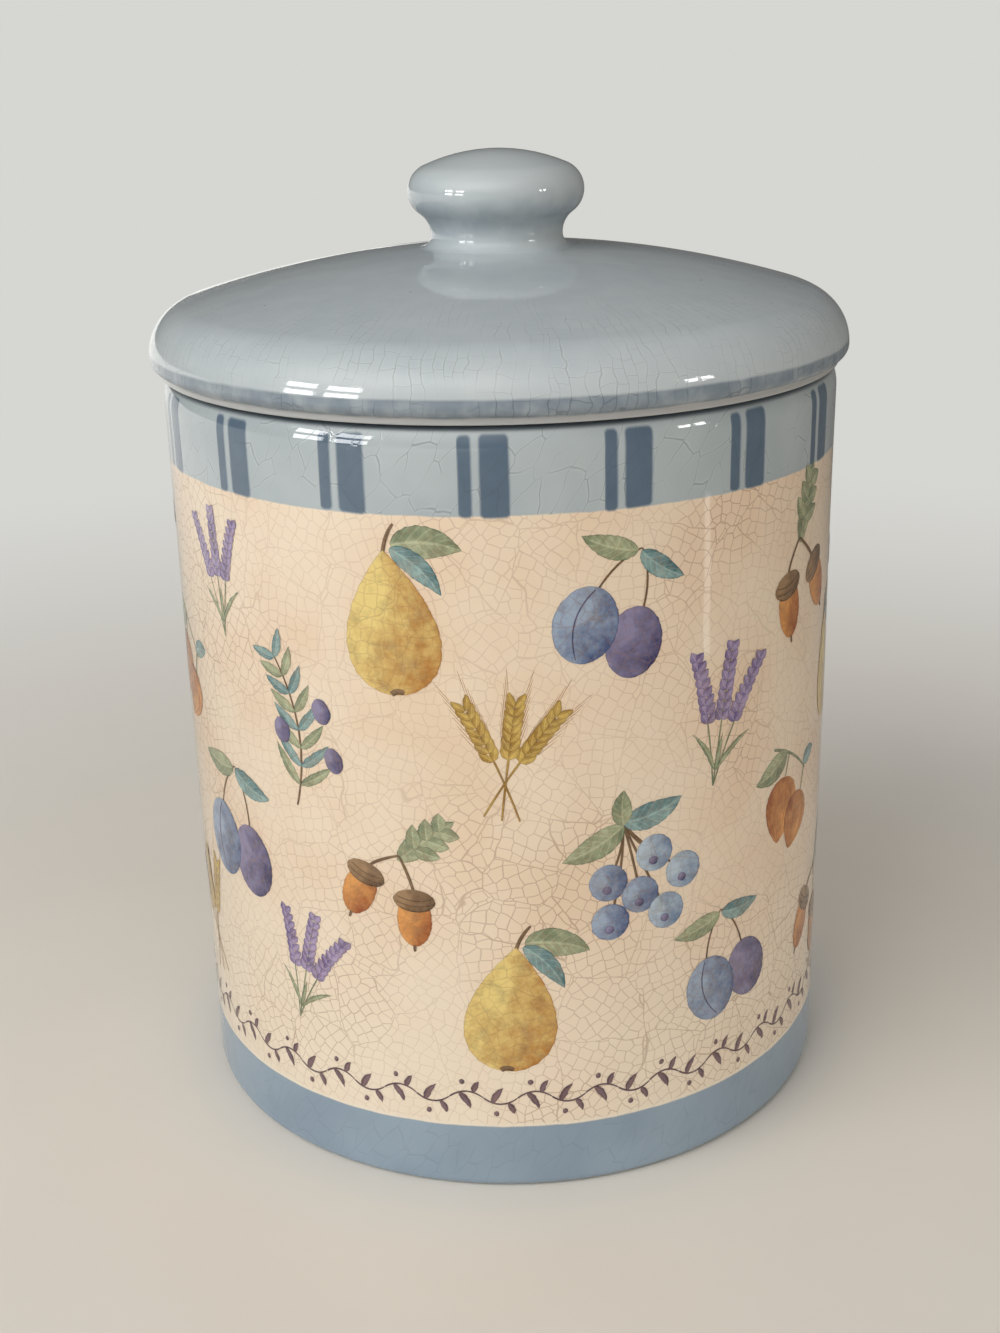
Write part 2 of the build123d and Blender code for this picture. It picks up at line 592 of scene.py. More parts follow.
def cream_field(coat, z, height):
    """Colour of the cream field: warm clouds, paler lower down, cracks and a white rule at its foot."""
    stain = 0.20 + 0.30 * coat.clouds(crack_stain, 1.0, 0.4, 0.62)
    rule = coat.ramp(abs(height - foot_band_top - rule_rise), rule_width, rule_width / 3)
    return coat.layers(
        cream,
        (coat.clouds(field_cloud, 3.0, 0.35, 0.7), cream_warm),
        (coat.clouds(field_shade, 2.0, 0.5, 0.75) * 0.5, cream_deep),
        (coat.ramp(z, jar_height / 2, foot_band_top) * 0.55, cream_pale),
        (crack_net(coat) * stain, crack_brown),
        (rule * 0.7, edge_white),
    )


def slant_cracks(coat, across, up):
    """Slanting cracks, and the pale glaze beside them: edges of cells drawn out along a slant, in patches."""
    reach = (crack_waver_reach, crack_waver_reach, 0.0)
    flat = coat.vector("MULTIPLY_ADD", coat.waver(crack_waver, 2.0), reach, coat.combine(across, up, 0.0))
    flat = coat.vector("MULTIPLY", coat.turn(flat, band_crack_slant), (1.0, band_crack_stretch, 1.0))
    away = coat.edge(flat, band_crack_cell, "2D")
    shown = coat.clouds(band_crack_patch, 1.0, 0.35, 0.55)
    cracks = coat.ramp(away, band_crack_line, band_crack_line / 5) * shown
    halo = coat.ramp(away, band_crack_halo, band_crack_line) * shown
    return cracks, halo


def stripes(coat, angle, z, stray):
    """Painted stripes, 1 on paint: pairs of a narrow and a wide stroke with rounded ends, round the jar.

    Each stroke is a rounded box: its distance is the length of what lies past its inner box, less the corner.
    """
    crowded = angle + coat.math("SINE", angle) * stripe_crowding
    pitch = 2 * math.pi / stripe_count
    pair = coat.math("FRACT", (crowded - stripe_first) / pitch + stripe_count) * (pitch * jar_radius)
    across = pair + stray * 0.6
    middle, half = (stripe_top + cream_top) / 2, (stripe_top - cream_top) / 2
    ends = coat.sway(stripe_waver, 0.0, stripe_unevenness)
    tall = abs(z + ends - middle) - (half - stripe_corner)
    painted = 0.0
    for start, width in ((0, stripe_narrow), (stripe_narrow + stripe_gap, stripe_wide)):
        side = abs(across - (start + width / 2)) - (width / 2 - stripe_corner)
        past = coat.combine(coat.math("MAXIMUM", side, 0.0), coat.math("MAXIMUM", tall, 0.0), 0.0)
        painted = coat.ramp(coat.length(past) - stripe_corner, stripe_edge, -stripe_edge) + painted
    return painted


def lid_glaze():
    """Outside of the lid and knob: pale blue glaze, radial cracks, pale lip, painted shade on flank and
    waist, painted light on crown.
    """
    coat = material("lid_glaze")
    x, y, z = coat.split(coat.place)
    reach = coat.length(coat.combine(x, y, 0.0))
    angle = coat.math("ARCTAN2", x, 0 - y)
    stray_round, stray_down, _ = coat.split(coat.waver(crack_waver, 2.0))
    around = angle * lid_radius + stray_round * lid_crack_stray
    cracks, halo = lid_cracks(coat, around, reach - z + stray_down * lid_crack_stray)
    # Painted shade and painted dark reflection: the lid's flank below its equator, which faces down, is
    # darker
    flank = coat.ramp(z + stray_down * paint_stray, flank_top + 2 * paint_edge, flank_top - 2 * paint_edge)
    outer = coat.ramp(reach, lid_radius * 0.4, lid_radius * 0.95)
    # The knob's waist under its head is darker: partly glaze pooled there, partly painted shade
    waist = coat.ramp(abs(z - (knob_top - knob_waist_drop)), knob_waist_drop / 2, 0.0)
    # Painted light: the knob's crown is made paler, as if lit from above
    crown = coat.ramp(z, knob_top - knob_crown_rise, knob_top)
    specks = coat.cells(coat.place, speck_pitch, "Distance")
    lip_line = jar_height + lip_height
    lip_stray = coat.sway(paint_waver, 2.0, paint_stray)
    colour = coat.layers(
        lid_blue,
        (coat.clouds(lid_cloud, 2.0, 0.25, 0.75), lid_blue_deep),
        (flank * outer, painted_shade_blue),
        (waist * coat.ramp(reach, knob_radius * 1.2, knob_radius) * 0.6, painted_shade_blue),
        (crown * 0.7, pale_glaze_and_painted_light),
        (halo * outer * (1 - flank) * 0.5, pale_glaze_and_painted_light),
        (coat.clouds(lid_mottle, 3.0, 0.35, 0.75) * 0.3, pale_glaze_and_painted_light),
        (cracks * outer * (0.34 + flank * 0.2), crack_slate),
        (coat.ramp(specks, 0.03, 0.018) * 0.6, crack_brown),
        (coat.ramp(z + lip_stray, lip_line + paint_edge, lip_line - paint_edge), lip_grey),
    )
    rings = coat.combine(angle * ripple_size * 2, reach, z)
    return glazed(coat, colour, cracks * outer, coat.sway(ripple_size, 1.0, ripple_depth, rings))


def lid_cracks(coat, around, down):
    """Radial cracks with rungs between them, staggered from gap to gap, and the pale glaze beside them."""
    column = coat.split(coat.cells(around, lid_crack_cell, "Color", "1D"))[0]
    rays = coat.edge(around, lid_crack_cell, "1D")
    rungs = coat.edge(down + column, lid_rung_cell, "1D")
    patchy = 0.15 + 0.85 * coat.clouds(lid_crack_patch, 1.0, 0.35, 0.62)
    ray_lines, rung_lines = [coat.ramp(away, lid_crack_line, lid_crack_line / 5) for away in (rays, rungs)]
    cracks = coat.math("MAXIMUM", ray_lines, rung_lines * 0.9) * patchy
    halo = coat.ramp(coat.math("MINIMUM", rays, rungs), lid_crack_halo, lid_crack_line) * patchy
    return cracks, halo


def lining_glaze():
    """Inside of the jar and underside of the lid: a warm white glaze with a faint crackle."""
    coat = material("lining_glaze")
    colour = coat.layers(
        lining_white,
        (coat.clouds(lining_cloud, 3.0, 0.35, 0.7), lining_warm),
        (crack_net(coat, lining_crack_scale) * 0.18, crack_brown),
    )
    return glazed(coat, colour, roughness=0.12)


def bare_clay():
    """Unglazed fired clay of the foot ring and the knob's spigot: sandy, mat and pitted."""
    coat = material("bare_clay")
    colour = coat.layers(
        clay,
        (coat.noise(clay_cloud, 4.0), clay_deep),
        (coat.clouds(clay_grain, 2.0, 0.58, 0.7) * 0.5, clay_deep),
    )
    pits = coat.bump(coat.noise(clay_pit, 3.0) * clay_pit_depth)
    return coat.shade(Base_Color=colour, Roughness=0.86, Normal=pits)


def seal_silicone():
    """Milky silicone rubber with a fine mould grain."""
    coat = material("seal_silicone")
    colour = coat.mix(coat.noise(silicone_cloud, 2.0), silicone, silicone_deep)
    grain = coat.bump(coat.noise(silicone_grain, 2.0) * silicone_grain_depth)
    return coat.shade(Base_Color=colour, Roughness=0.42, Normal=grain,
                      Subsurface_Weight=0.25, Subsurface_Scale=silicone_milk_depth)


# Pieces

def make_jar(materials):
    """Pot from the middle of its base, under the foot, up the outside, over the rim and down to the floor."""
    foot_inner = jar_radius - foot_ring_width
    base = rounded([
        ((0, foot_ring_height), 0),
        ((foot_inner, foot_ring_height), foot_ring_round),
        ((foot_inner, 0), foot_ring_round),
        ((jar_radius - base_edge_round, 0), 0),
    ])
    roll_centre = jar_radius - rim_roll_radius
    inset = rim_roll_radius - rim_edge_round
    edge_height = jar_height - rim_slope_drop - rim_edge_round
    roll_height = edge_height - inset * math.sin(rim_roll_turn)
    edge_centre = roll_centre + inset * math.cos(rim_roll_turn)
    slope_top = edge_centre - rim_slope_width
    outside = joined(
        arc((jar_radius - base_edge_round, base_edge_round), base_edge_round, -math.pi / 2, 0),
        run((jar_radius, base_edge_round), (jar_radius, roll_height)),
        arc((roll_centre, roll_height), rim_roll_radius, 0, rim_roll_turn),
        arc((edge_centre, edge_height), rim_edge_round, rim_roll_turn, math.pi / 2),
        run((edge_centre, jar_height - rim_slope_drop), (slope_top, jar_height)),
    )
    inside = rounded([
        (outside[-1], 0),
        ((bore_radius, jar_height), bore_edge_round),
        ((bore_radius, floor_top), floor_corner_round),
        ((0, floor_top), 0),
    ])
    zones = [(base, 2), (outside, 0), (inside, 1)]
    turned("jar_pot", zones, materials, jar_map_shares, "jar", "jar_glaze", "jar_body")


lid_crown, lid_centre, lid_meeting = dome(lid_radius, equator_height, dome_rise, dome_shoulder_round)
fillet_across = knob_neck_radius + knob_foot_round
fillet_height = lid_centre + math.sqrt((lid_crown + knob_foot_round) ** 2 - fillet_across**2)
fillet_lean = math.atan2(lid_centre - fillet_height, -fillet_across)


def make_lid(materials):
    """Lid from the socket's lower edge, along the underside and plug, up the lip and flank, over the dome."""
    under = lid_crown - lid_shell
    corner = (plug_inner_radius, lid_centre + math.sqrt(under**2 - plug_inner_radius**2))
    inner_end = math.acos((plug_inner_radius - plug_corner_round) / under)
    inner = arc((0, lid_centre), under, math.acos(socket_radius / under), inner_end)
    plug = rounded([
        (inner[-1], 0),
        (corner, plug_corner_round * tight_round_share),
        ((plug_inner_radius, plug_bottom), bead_round),
        ((bead_radius, plug_bottom), bead_round),
        ((bead_radius, bead_top), bead_round / 2),
        ((plug_radius, bead_top), 0),
        ((plug_radius, jar_height), 0),
    ])
    seat = rounded([
        ((plug_radius, jar_height), 0),
        ((lip_radius - seat_width, jar_height), 0),
        ((lip_radius - lip_round, jar_height - lip_drop), 0),
    ])
    flank_round = lid_radius - lip_radius
    outside = joined(
        rounded([
            ((lip_radius - lip_round, jar_height - lip_drop), 0),
            ((lip_radius, jar_height - lip_drop), lip_round * tight_round_share),
            ((lip_radius, equator_height - flank_round), 0),
        ]),
        arc((lip_radius, equator_height), flank_round, -math.pi / 2, 0),
        arc((lid_radius - dome_shoulder_round, equator_height), dome_shoulder_round, 0, lid_meeting),
        arc((0, lid_centre), lid_crown, lid_meeting, math.acos(knob_neck_radius / lid_crown)),
    )
    land = outside[-1]
    socket = joined(
        run(land, (socket_radius, land[1])),
        run((socket_radius, land[1]), inner[0]),
    )
    zones = [(inner, 1), (plug, 1), (seat, 0), (outside, 0), (socket, 2)]
    turned("lid_dome", zones, materials, lid_map_shares, "lid", "lid_glaze", "lid_cover", phase=lid_phase)


def make_knob(materials):
    """Knob from the roof of its vent, down and round the spigot, up the foot, neck and head to the crown."""
    vent_top = spigot_bottom + vent_depth
    foot_edge = (fillet_across + knob_foot_round * math.cos(fillet_lean),
                 fillet_height + knob_foot_round * math.sin(fillet_lean))
    hidden = rounded([
        ((0, vent_top), 0),
        ((vent_radius, vent_top), spigot_round),
        ((vent_radius, spigot_bottom), spigot_round),
        ((spigot_radius, spigot_bottom), spigot_round),
        ((spigot_radius, foot_edge[1] - knob_foot_depth), 0),
        ((foot_edge[0], foot_edge[1] - knob_foot_depth), 0),
        (foot_edge, 0),
    ])
    head_height = knob_top - knob_crown_rise
    rise = head_height - fillet_height
    spread = knob_radius - knob_neck_radius
    lean = 2 * math.atan2(spread, rise)
    bend = rise / (2 * math.sin(lean))
    crown, centre, meeting = dome(knob_radius, head_height, knob_crown_rise, knob_shoulder_round)
    shown = joined(
        arc((fillet_across, fillet_height), knob_foot_round, fillet_lean + 2 * math.pi, math.pi),
        arc((knob_neck_radius + bend, fillet_height), bend, math.pi, math.pi - lean),
        arc((knob_radius - bend, head_height), bend, -lean, 0),
        arc((knob_radius - knob_shoulder_round, head_height), knob_shoulder_round, 0, meeting),
        arc((0, centre), crown, meeting, math.pi / 2),
    )
    zones = [(hidden, 1), (shown, 0)]
    turned("lid_pull", zones, materials, knob_map_shares, "lid", "knob_glaze", "lid_knob", phase=lid_phase)


def make_seal(materials):
    """Seal ring: a band with tapered fins, evenly spaced, that tilt up to their rounded tips."""
    outer = seal_radius + seal_band
    pitch = (seal_top - seal_bottom) / fin_count
    corners = [((seal_radius, seal_bottom), 0), ((outer, seal_bottom), seal_round)]
    for fin in range(fin_count):
        middle = seal_bottom + (fin + 0.5) * pitch
        corners += [
            ((outer, middle - fin_root / 2), seal_round),
            ((seal_tip, middle + fin_lift - fin_tip / 2), seal_round),
            ((seal_tip, middle + fin_lift + fin_tip / 2), seal_round),
            ((outer, middle + fin_root / 2), seal_round),
        ]
    corners += [
        ((outer, seal_top), seal_round),
        ((seal_radius, seal_top), 0),
        ((seal_radius, seal_bottom), 0),
    ]
    zones = [(rounded(corners), 0)]
    turned("seal_ring", zones, materials, seal_map_shares, "seal", "seal_silicone", "lid_seal")


# Printed motifs: strokes in shares of a motif's height, places as across + up * 1j from its middle

def leaf(tone, start, end, half, curl=0.12):
    """Leaf from its stalk to its tip, bent aside by curl of its length."""
    return ("leaf", tone, start, (start + end) / 2 + 1j * (end - start) * curl, end, half, 0.6, 0.9)


def fruit(tone, bottom, top, half, fall=0.5):
    """Round fruit from its bottom to its top, drawn out to the top by a larger fall."""
    return ("fruit", tone, bottom, (bottom + top) / 2, top, half, 0.5, fall)


def stalk(tone, start, bend, end, half=0.011):
    """Thin line that bends towards a point."""
    return ("stalk", tone, start, bend, end, half, 0.05, 0.12)


def bent(start, bend, end, share):
    """Point at a share of the quadratic curve from start to end that bend pulls aside."""
    return (1 - share) ** 2 * start + 2 * share * (1 - share) * bend + share**2 * end


def pairs(start, bend, end, shares):
    """Both sides of points along a curve, each (share, point, side), with side -1 and then 1."""
    return [(share, bent(start, bend, end, share), side) for share in shares for side in (-1, 1)]


def plum_shares():
    """Two plums on one twig, with two leaves."""
    yield stalk("bark", -0.16 + 0.06j, -0.1 + 0.3j, 0.06 + 0.42j)
    yield stalk("bark", 0.2, 0.2 + 0.25j, 0.06 + 0.42j)
    yield leaf("sage", 0.04 + 0.4j, -0.38 + 0.4j, 0.085)
    yield leaf("teal", 0.06 + 0.4j, 0.44 + 0.3j, 0.08, -0.14)
    yield fruit("plum", 0.24 - 0.46j, 0.18 + 0.04j, 0.21)
    yield fruit("slate", -0.14 - 0.44j, -0.18 + 0.1j, 0.23)
    yield stalk("plum", -0.17 + 0.08j, -0.32 - 0.16j, -0.15 - 0.42j, 0.008)


def pear_shares():
    """Pear with a stalk and two leaves."""
    yield leaf("sage", 0.06 + 0.38j, 0.46 + 0.3j, 0.1, 0.16)
    yield leaf("teal", 0.05 + 0.36j, 0.3 + 0.06j, 0.07, 0.16)
    yield stalk("bark", 0.3j, 0.02 + 0.42j, 0.1 + 0.5j, 0.014)
    yield fruit("gold", -0.06 - 0.5j, 0.01 + 0.36j, 0.29, 0.95)
    yield stalk("bark", -0.1 - 0.49j, -0.06 - 0.46j, -0.02 - 0.49j, 0.02)


def berry_shares():
    """Cluster of blue berries with dark crowns under three leaves."""
    places = [-0.2 - 0.02j, 0.14 + 0.02j, -0.04 - 0.2j, 0.28 - 0.2j, -0.28 - 0.28j, 0.08 - 0.4j]
    for place in places:
        yield stalk("bark", place, 0.02 + 0.2j, 0.02 + 0.36j)
    yield leaf("sage", 0.02 + 0.3j, -0.42 + 0.24j, 0.09)
    yield leaf("teal", 0.02 + 0.32j, 0.44 + 0.28j, 0.09, -0.14)
    yield leaf("sage", 0.02 + 0.3j, 0.1 + 0.52j, 0.07, 0.1)
    for number, place in enumerate(places):
        yield fruit(("slate", "sky")[number % 2], place - 0.125j, place + 0.125j, 0.128)
        yield fruit("plum", place - 0.04 - 0.07j, place - 0.01 - 0.02j, 0.034)


def lavender_shares():
    """Three stems of lavender from one foot, each with pairs of florets towards its tip."""
    for lean in (-0.26, 0.02, 0.3):
        foot, bend, tip = 0.02 - 0.44j, lean * 0.3, lean + 0.46j - abs(lean) * 0.3j
        yield stalk("sage", foot, bend, tip, 0.008)
        yield leaf("sage", foot + 0.1j, foot + lean * 0.9 + 0.36j, 0.022, lean * 0.5)
        for share, place, side in pairs(foot, bend, tip, np.linspace(0.5, 1, 8)):
            end = place + 0.1 * (1.25 - 0.5 * share) * (side * 0.62 + 0.8j)
            yield leaf("violet", place, end, 0.034, -0.1 * side)


def wheat_shares():
    """Three ears of wheat with long awns, crossed at the foot."""
    for lean, foot in ((-0.28, 0.12 - 0.5j), (0.3, -0.12 - 0.48j), (0.03, -0.5j)):
        tip = lean + 0.3j - abs(lean) * 0.2j
        bend = 0.25 * (foot + tip) - 0.05j
        ahead = (tip - bend) / abs(tip - bend)
        yield stalk("ochre", foot, bend, tip, 0.01)
        for _, place, side in pairs(foot, bend, tip, np.linspace(0.55, 1, 7)):
            end = place + 0.12 * ahead * np.exp(-0.5j * side)
            awn = 0.16 * ahead * np.exp(-0.2j * side)
            yield stalk("gold", end, end + awn / 2, end + awn, 0.004)
            yield leaf("ochre", place, end, 0.03, -0.12 * side)


def acorn_shares():
    """Two acorns and an oak leaf with rounded lobes."""
    foot, tip = 0.02 + 0.1j, 0.34 + 0.5j
    yield leaf("sage", foot, tip, 0.09, 0.05)
    for share, place, side in pairs(foot, (foot + tip) / 2, tip, (0.3, 0.52, 0.74)):
        lobe = place + (tip - foot) * np.exp(0.95j * side) * (0.42 - 0.2 * share)
        yield leaf("sage", place, lobe, 0.055, 0.05 * side)
    for place, lean in ((-0.2 - 0.16j, 0.16), (0.2 - 0.24j, -0.2)):
        up = np.exp(-1j * lean)
        yield stalk("bark", place + 0.12j * up, place + 0.2j * up, 0.02 + 0.14j, 0.014)
        yield fruit("rust", place - 0.26j * up, place + 0.14j * up, 0.125)
        yield fruit("bark", place, place + 0.17j * up, 0.15)
        yield stalk("bark", place - 0.25j * up, place - 0.27j * up, place - 0.3j * up, 0.014)
        for rise, reach in ((0.03, 0.1), (0.07, 0.13), (0.11, 0.12)):
            row = place + 1j * rise * up
            yield stalk("bark", row - reach * up, row - 0.05j * up, row + reach * up, 0.006)


def lantern_shares():
    """Two paper lantern fruits with ribs, on a twig with two leaves."""
    yield stalk("sage", -0.3 + 0.46j, 0.46j, 0.3 + 0.3j, 0.014)
    yield leaf("sage", -0.1 + 0.45j, -0.44 + 0.2j, 0.1, 0.12)
    yield leaf("teal", 0.24 + 0.34j, 0.44 + 0.46j, 0.07, 0.1)
    for top, size, lean in ((-0.06 + 0.26j, 0.5, 0.1), (0.26 + 0.14j, 0.44, -0.16)):
        down = -1j * np.exp(1j * lean) * size
        yield stalk("sage", top + 0.18j, top + 0.1j, top)
        yield fruit("rust", top, top + down, size * 0.44, 0.8)
        for bow in (-0.55, -0.18, 0.2, 0.58):
            yield stalk("amber", top, top + down * (0.42 + 1j * bow), top + down * 0.98, 0.007)


def olive_shares():
    """Twig with paired narrow leaves and three dark olives."""
    foot, bend, tip = -0.22 - 0.48j, 0.1, -0.06 + 0.5j
    yield stalk("bark", foot, bend, tip, 0.011)
    for number, (share, place, side) in enumerate(pairs(foot, bend, tip, np.linspace(0.14, 0.98, 8))):
        ahead = ((1 - share) * (bend - foot) + share * (tip - bend)) / abs(bend - foot)
        end = place + 0.32 * (1.1 - 0.4 * share) * ahead * np.exp(0.8j * side)
        yield leaf(("sage", "teal")[number // 2 % 2], place, end, 0.038, 0.08 * side)
    for place in (0.18 - 0.22j, -0.16 + 0.02j, 0.2 + 0.1j):
        yield fruit("plum", place - 0.085j, place + 0.085j, 0.068)


def garland_shares():
    """One repeat of the running border: a wave of stem with leaves and berries on both sides."""
    yield stalk("wine", -0.5, -0.25 + 0.36j, 0, 0.035)
    yield stalk("wine", 0, 0.25 - 0.36j, 0.5, 0.035)
    for side in (-1, 1):
        middle = 0.25 * side
        berry = middle - 0.06 - 0.46j * side
        yield leaf("wine", middle - 0.12 - 0.16j * side, middle + 0.06 + 0.34j * side, 0.1, 0.12)
        yield leaf("wine", middle + 0.1 - 0.14j * side, middle + 0.2 - 0.5j * side, 0.09, 0.12)
        yield fruit("wine", berry - 0.08j, berry + 0.08j, 0.08)


# Each tone's pale and deep colour, as screen colours
tones = {
    "sage": ((186, 190, 156), (104, 120, 92)),
    "teal": ((158, 184, 180), (70, 108, 114)),
    "plum": ((142, 136, 168), (62, 58, 98)),
    "slate": ((160, 176, 198), (72, 88, 128)),
    "sky": ((184, 200, 214), (98, 122, 156)),
    "violet": ((180, 164, 194), (100, 84, 134)),
    "gold": ((232, 208, 132), (180, 124, 56)),
    "ochre": ((216, 186, 104), (150, 112, 46)),
    "amber": ((240, 186, 110), (190, 118, 54)),
    "rust": ((224, 158, 88), (150, 78, 34)),
    "bark": ((160, 130, 96), (88, 64, 44)),
    "wine": ((134, 110, 116), (84, 62, 74)),
}
motifs = [
    pear_shares, berry_shares, wheat_shares, plum_shares,
    lantern_shares, lavender_shares, acorn_shares, olive_shares,
]
motif_size = 0.0325
motif_columns, motif_rows = 10, 4
motif_lowest, motif_highest = 0.0475, 0.1335
motif_tilt = math.radians(20)
motif_stray_share, motif_growth_share = 0.05, 0.08
motif_stray_phases, motif_growth_phases = (2.4, 1.7), (3.1, 1.0)
garland_height = 0.0232
garland_size = 0.0085
garland_pitch_share = 1.75
print_lift = 0.00003
print_depth = 0.00012
print_root = 0.0001
print_along, print_across = 13, 7
print_end_share = 0.004
print_edge = 0.00018
print_ragged, print_ragged_size = 0.0006, 0.0012
print_outline = 0.0005
print_back_inset = 0.02
print_map_margin = 0.03
wash_cloud, wash_grain, wash_thin = 0.0035, 0.0009, 0.004


def placed_strokes():
    """All strokes on the unrolled wall, in metres: motifs in staggered rows, and the running border."""
    wall = 2 * math.pi * jar_radius
    for row in range(motif_rows):
        height = motif_lowest + (motif_highest - motif_lowest) * row / (motif_rows - 1)
        for column in range(-motif_columns // 2, motif_columns // 2):
            stray = math.sin(np.dot(motif_stray_phases, (column, row)))
            growth = 1 + motif_growth_share * math.cos(np.dot(motif_growth_phases, (column, row)))
            across = (column + 0.5 * (row % 2) + motif_stray_share * stray) / motif_columns * wall
            size = motif_size * growth * np.exp(1j * motif_tilt * stray)
            motif = motifs[(column * 3 + row) % len(motifs)]
            yield from placed(motif(), across + 1j * height, size)
    repeats = round(wall / (garland_size * garland_pitch_share))
    for repeat in range(repeats):
        place = (repeat + 0.5) / repeats * wall + 1j * garland_height
        yield from placed(garland_shares(), place, garland_size, wall / repeats / garland_size)


def placed(motif, place, size, stretch=1.0):
    """Strokes of a motif scaled, turned and moved to its place on the wall, each with its lift above it."""
    strokes = list(motif)
    for order, (kind, tone, *points, half, rise, fall) in enumerate(strokes):
        points = [place + size * complex(point.real * stretch, point.imag) for point in points]
        lift = print_lift + print_depth * order / len(strokes)
        yield (kind, tone, *points, half * abs(size), rise, fall, lift)


def print_piece(kind, strokes, film):
    """Painted films of one kind on the jar's wall, a closed skin for each stroke.

    A stroke is a grid of (along, around). Its middle line is bent(), and its half width follows
    along**rise * (1 - along)**fall, scaled to reach half at its widest. Around it, the face goes from one
    edge to the other, and the back joins the edges again, sunk into the wall.
    """
    chosen = [stroke for stroke in strokes if stroke[0] == kind]
    columns = list(zip(*chosen))[2:]
    start, bend, end, half, rise, fall, lift = [np.array(column)[:, None, None] for column in columns]
    turn = np.linspace(0, math.pi, print_along)
    along = print_end_share + (1 - 2 * print_end_share) * (1 - np.cos(turn[:, None])) / 2
    across = np.concatenate([np.linspace(-1, 1, print_across), [1, -1]])
    is_back = np.arange(len(across)) >= print_across
    slope = (1 - along) * (bend - start) + along * (end - bend)
    widest = rise / (rise + fall)
    swell = (along / widest) ** rise * ((1 - along) / (1 - widest)) ** fall
    flat = bent(start, bend, end, along) + 1j * slope / np.abs(slope) * half * swell * across
    angle, height = flat.real / jar_radius, flat.imag
    radius = jar_radius + uneven(angle, height) + np.where(is_back, -print_root, lift)
    vertices = on_axis(radius, angle, height).reshape(-1, 3)
    index = np.arange(len(vertices)).reshape(flat.shape)
    after = np.roll(index, -1, axis=2)
    sides = np.stack([index[:, :-1], index[:, 1:], after[:, 1:], after[:, :-1]], -1)
    rims = index[:, [0, -1]]
    fans = np.stack(np.broadcast_arrays(rims[..., -1:], rims[..., :-2], rims[..., 1:-1]), -1)
    ends = np.concatenate([fans[:, 0], fans[:, 1, :, ::-1]])
    faces = sides.reshape(-1, 4).tolist() + ends.reshape(-1, 3).tolist()
    made = piece(kind + "_prints", vertices, faces, [film], "jar", "jar_glaze")
    at_end = np.isin(np.arange(print_along), (0, print_along - 1))[:, None]
    sharpen(made.data, np.broadcast_to((np.abs(across) == 1) | at_end, flat.shape).ravel())
    inset = half * swell * (1 - np.abs(across)) - is_back * print_back_inset
    inset = np.broadcast_to(inset, flat.shape).astype(np.float32)
    made.data.attributes.new("inset", "FLOAT", "POINT").data.foreach_set("value", inset.ravel())
    for number, name in enumerate(("pale", "deep")):
        colours = np.array([paint(*tones[stroke[1]][number]) for stroke in chosen], np.float32)
        colours = np.repeat(colours, flat[0].size, axis=0).ravel()
        made.data.color_attributes.new(name, "FLOAT_COLOR", "POINT").data.foreach_set("color", colours)
    map_prints(made.data, flat.shape, along, across)


def sharpen(mesh, on_rim):
    """Makes the edges along a rim sharp, so that the face's shading doesn't bend over its sides."""
    edges = np.empty(2 * len(mesh.edges), np.int32)
    mesh.edges.foreach_get("vertices", edges)
    mesh.edges.foreach_set("use_edge_sharp", on_rim[edges].reshape(-1, 2).all(1))


def map_prints(mesh, shape, along, across):
    """Maps of a print: stroke lays each face out along and across from 0 to 1, and OFBake sets them apart.

    What lies behind the face, and its ends, lie on the edge of the map, where the film is clear.
    """
    vertex = np.empty(len(mesh.loops), np.int32)
    mesh.loops.foreach_get("vertex_index", vertex)
    stroke, row, column = np.unravel_index(vertex, shape)
    sides = shape[0] * (shape[1] - 1) * shape[2]
    is_face = np.zeros(len(vertex), bool)
    is_face[:4 * sides] = np.repeat(np.arange(sides) % shape[2] < print_across - 1, 4)
    places = np.stack([along[row, 0], np.where(is_face, (across[column] + 1) / 2, 0)], -1)
    cells_across = math.ceil(math.sqrt(shape[0]))
    cell = np.stack([stroke % cells_across, stroke // cells_across], -1)
    apart = (cell + print_map_margin + (1 - 2 * print_map_margin) * places) / cells_across
    for name, layout in (("stroke", places), ("OFBake", apart)):
        mesh.uv_layers.new(name=name).data.foreach_set("uv", layout.ravel().astype(np.float32))


def print_finish(name, shading, ragged_depth):
    """Watercolour under the glaze: washes of a pale and a deep tone, ragged at the edge, and crackled."""
    coat = material(name)
    along, across, _ = coat.split(coat.node("UVMap", {"uv_map": "stroke"}))
    side = across * 2 - 1
    pale, deep, inset = [
        coat.node("Attribute", {"attribute_name": value}, output=output)
        for value, output in (("pale", "Color"), ("deep", "Color"), ("inset", "Fac"))
    ]
    wash = coat.sway(wash_cloud, 3.0, 1.3) + coat.sway(wash_grain, 2.0, 0.6)
    pooled = coat.ramp(inset, print_outline, 0.0) * 0.35
    depth = coat.ramp(shading(coat, along, side) + wash + pooled, 0.0, 1.0, smooth=False)
    colour = coat.layers(pale, (depth, deep), (crack_net(coat) * 0.3, crack_brown))
    ragged = coat.sway(print_ragged_size, 2.0, ragged_depth)
    thin = coat.clouds(wash_thin, 3.0, 0.4, 0.75)
    alpha = coat.ramp(inset + ragged, 0.0, print_edge) * (1.05 - 0.35 * thin)
    return glazed(coat, colour, Alpha=alpha)


def leaf_shading(coat, along, side):
    """Leaf: a pale midrib, side veins that slant to the tip and one half in shade."""
    away = abs(side)
    rib = coat.ramp(away, 0.14, 0.03)
    vein = coat.ramp(abs(coat.math("FRACT", along * 7 - away * 1.6) - 0.5), 0.14, 0.04)
    return 0.35 + 0.3 * coat.ramp(side, -0.3, 0.3) - 0.45 * rib - 0.25 * vein


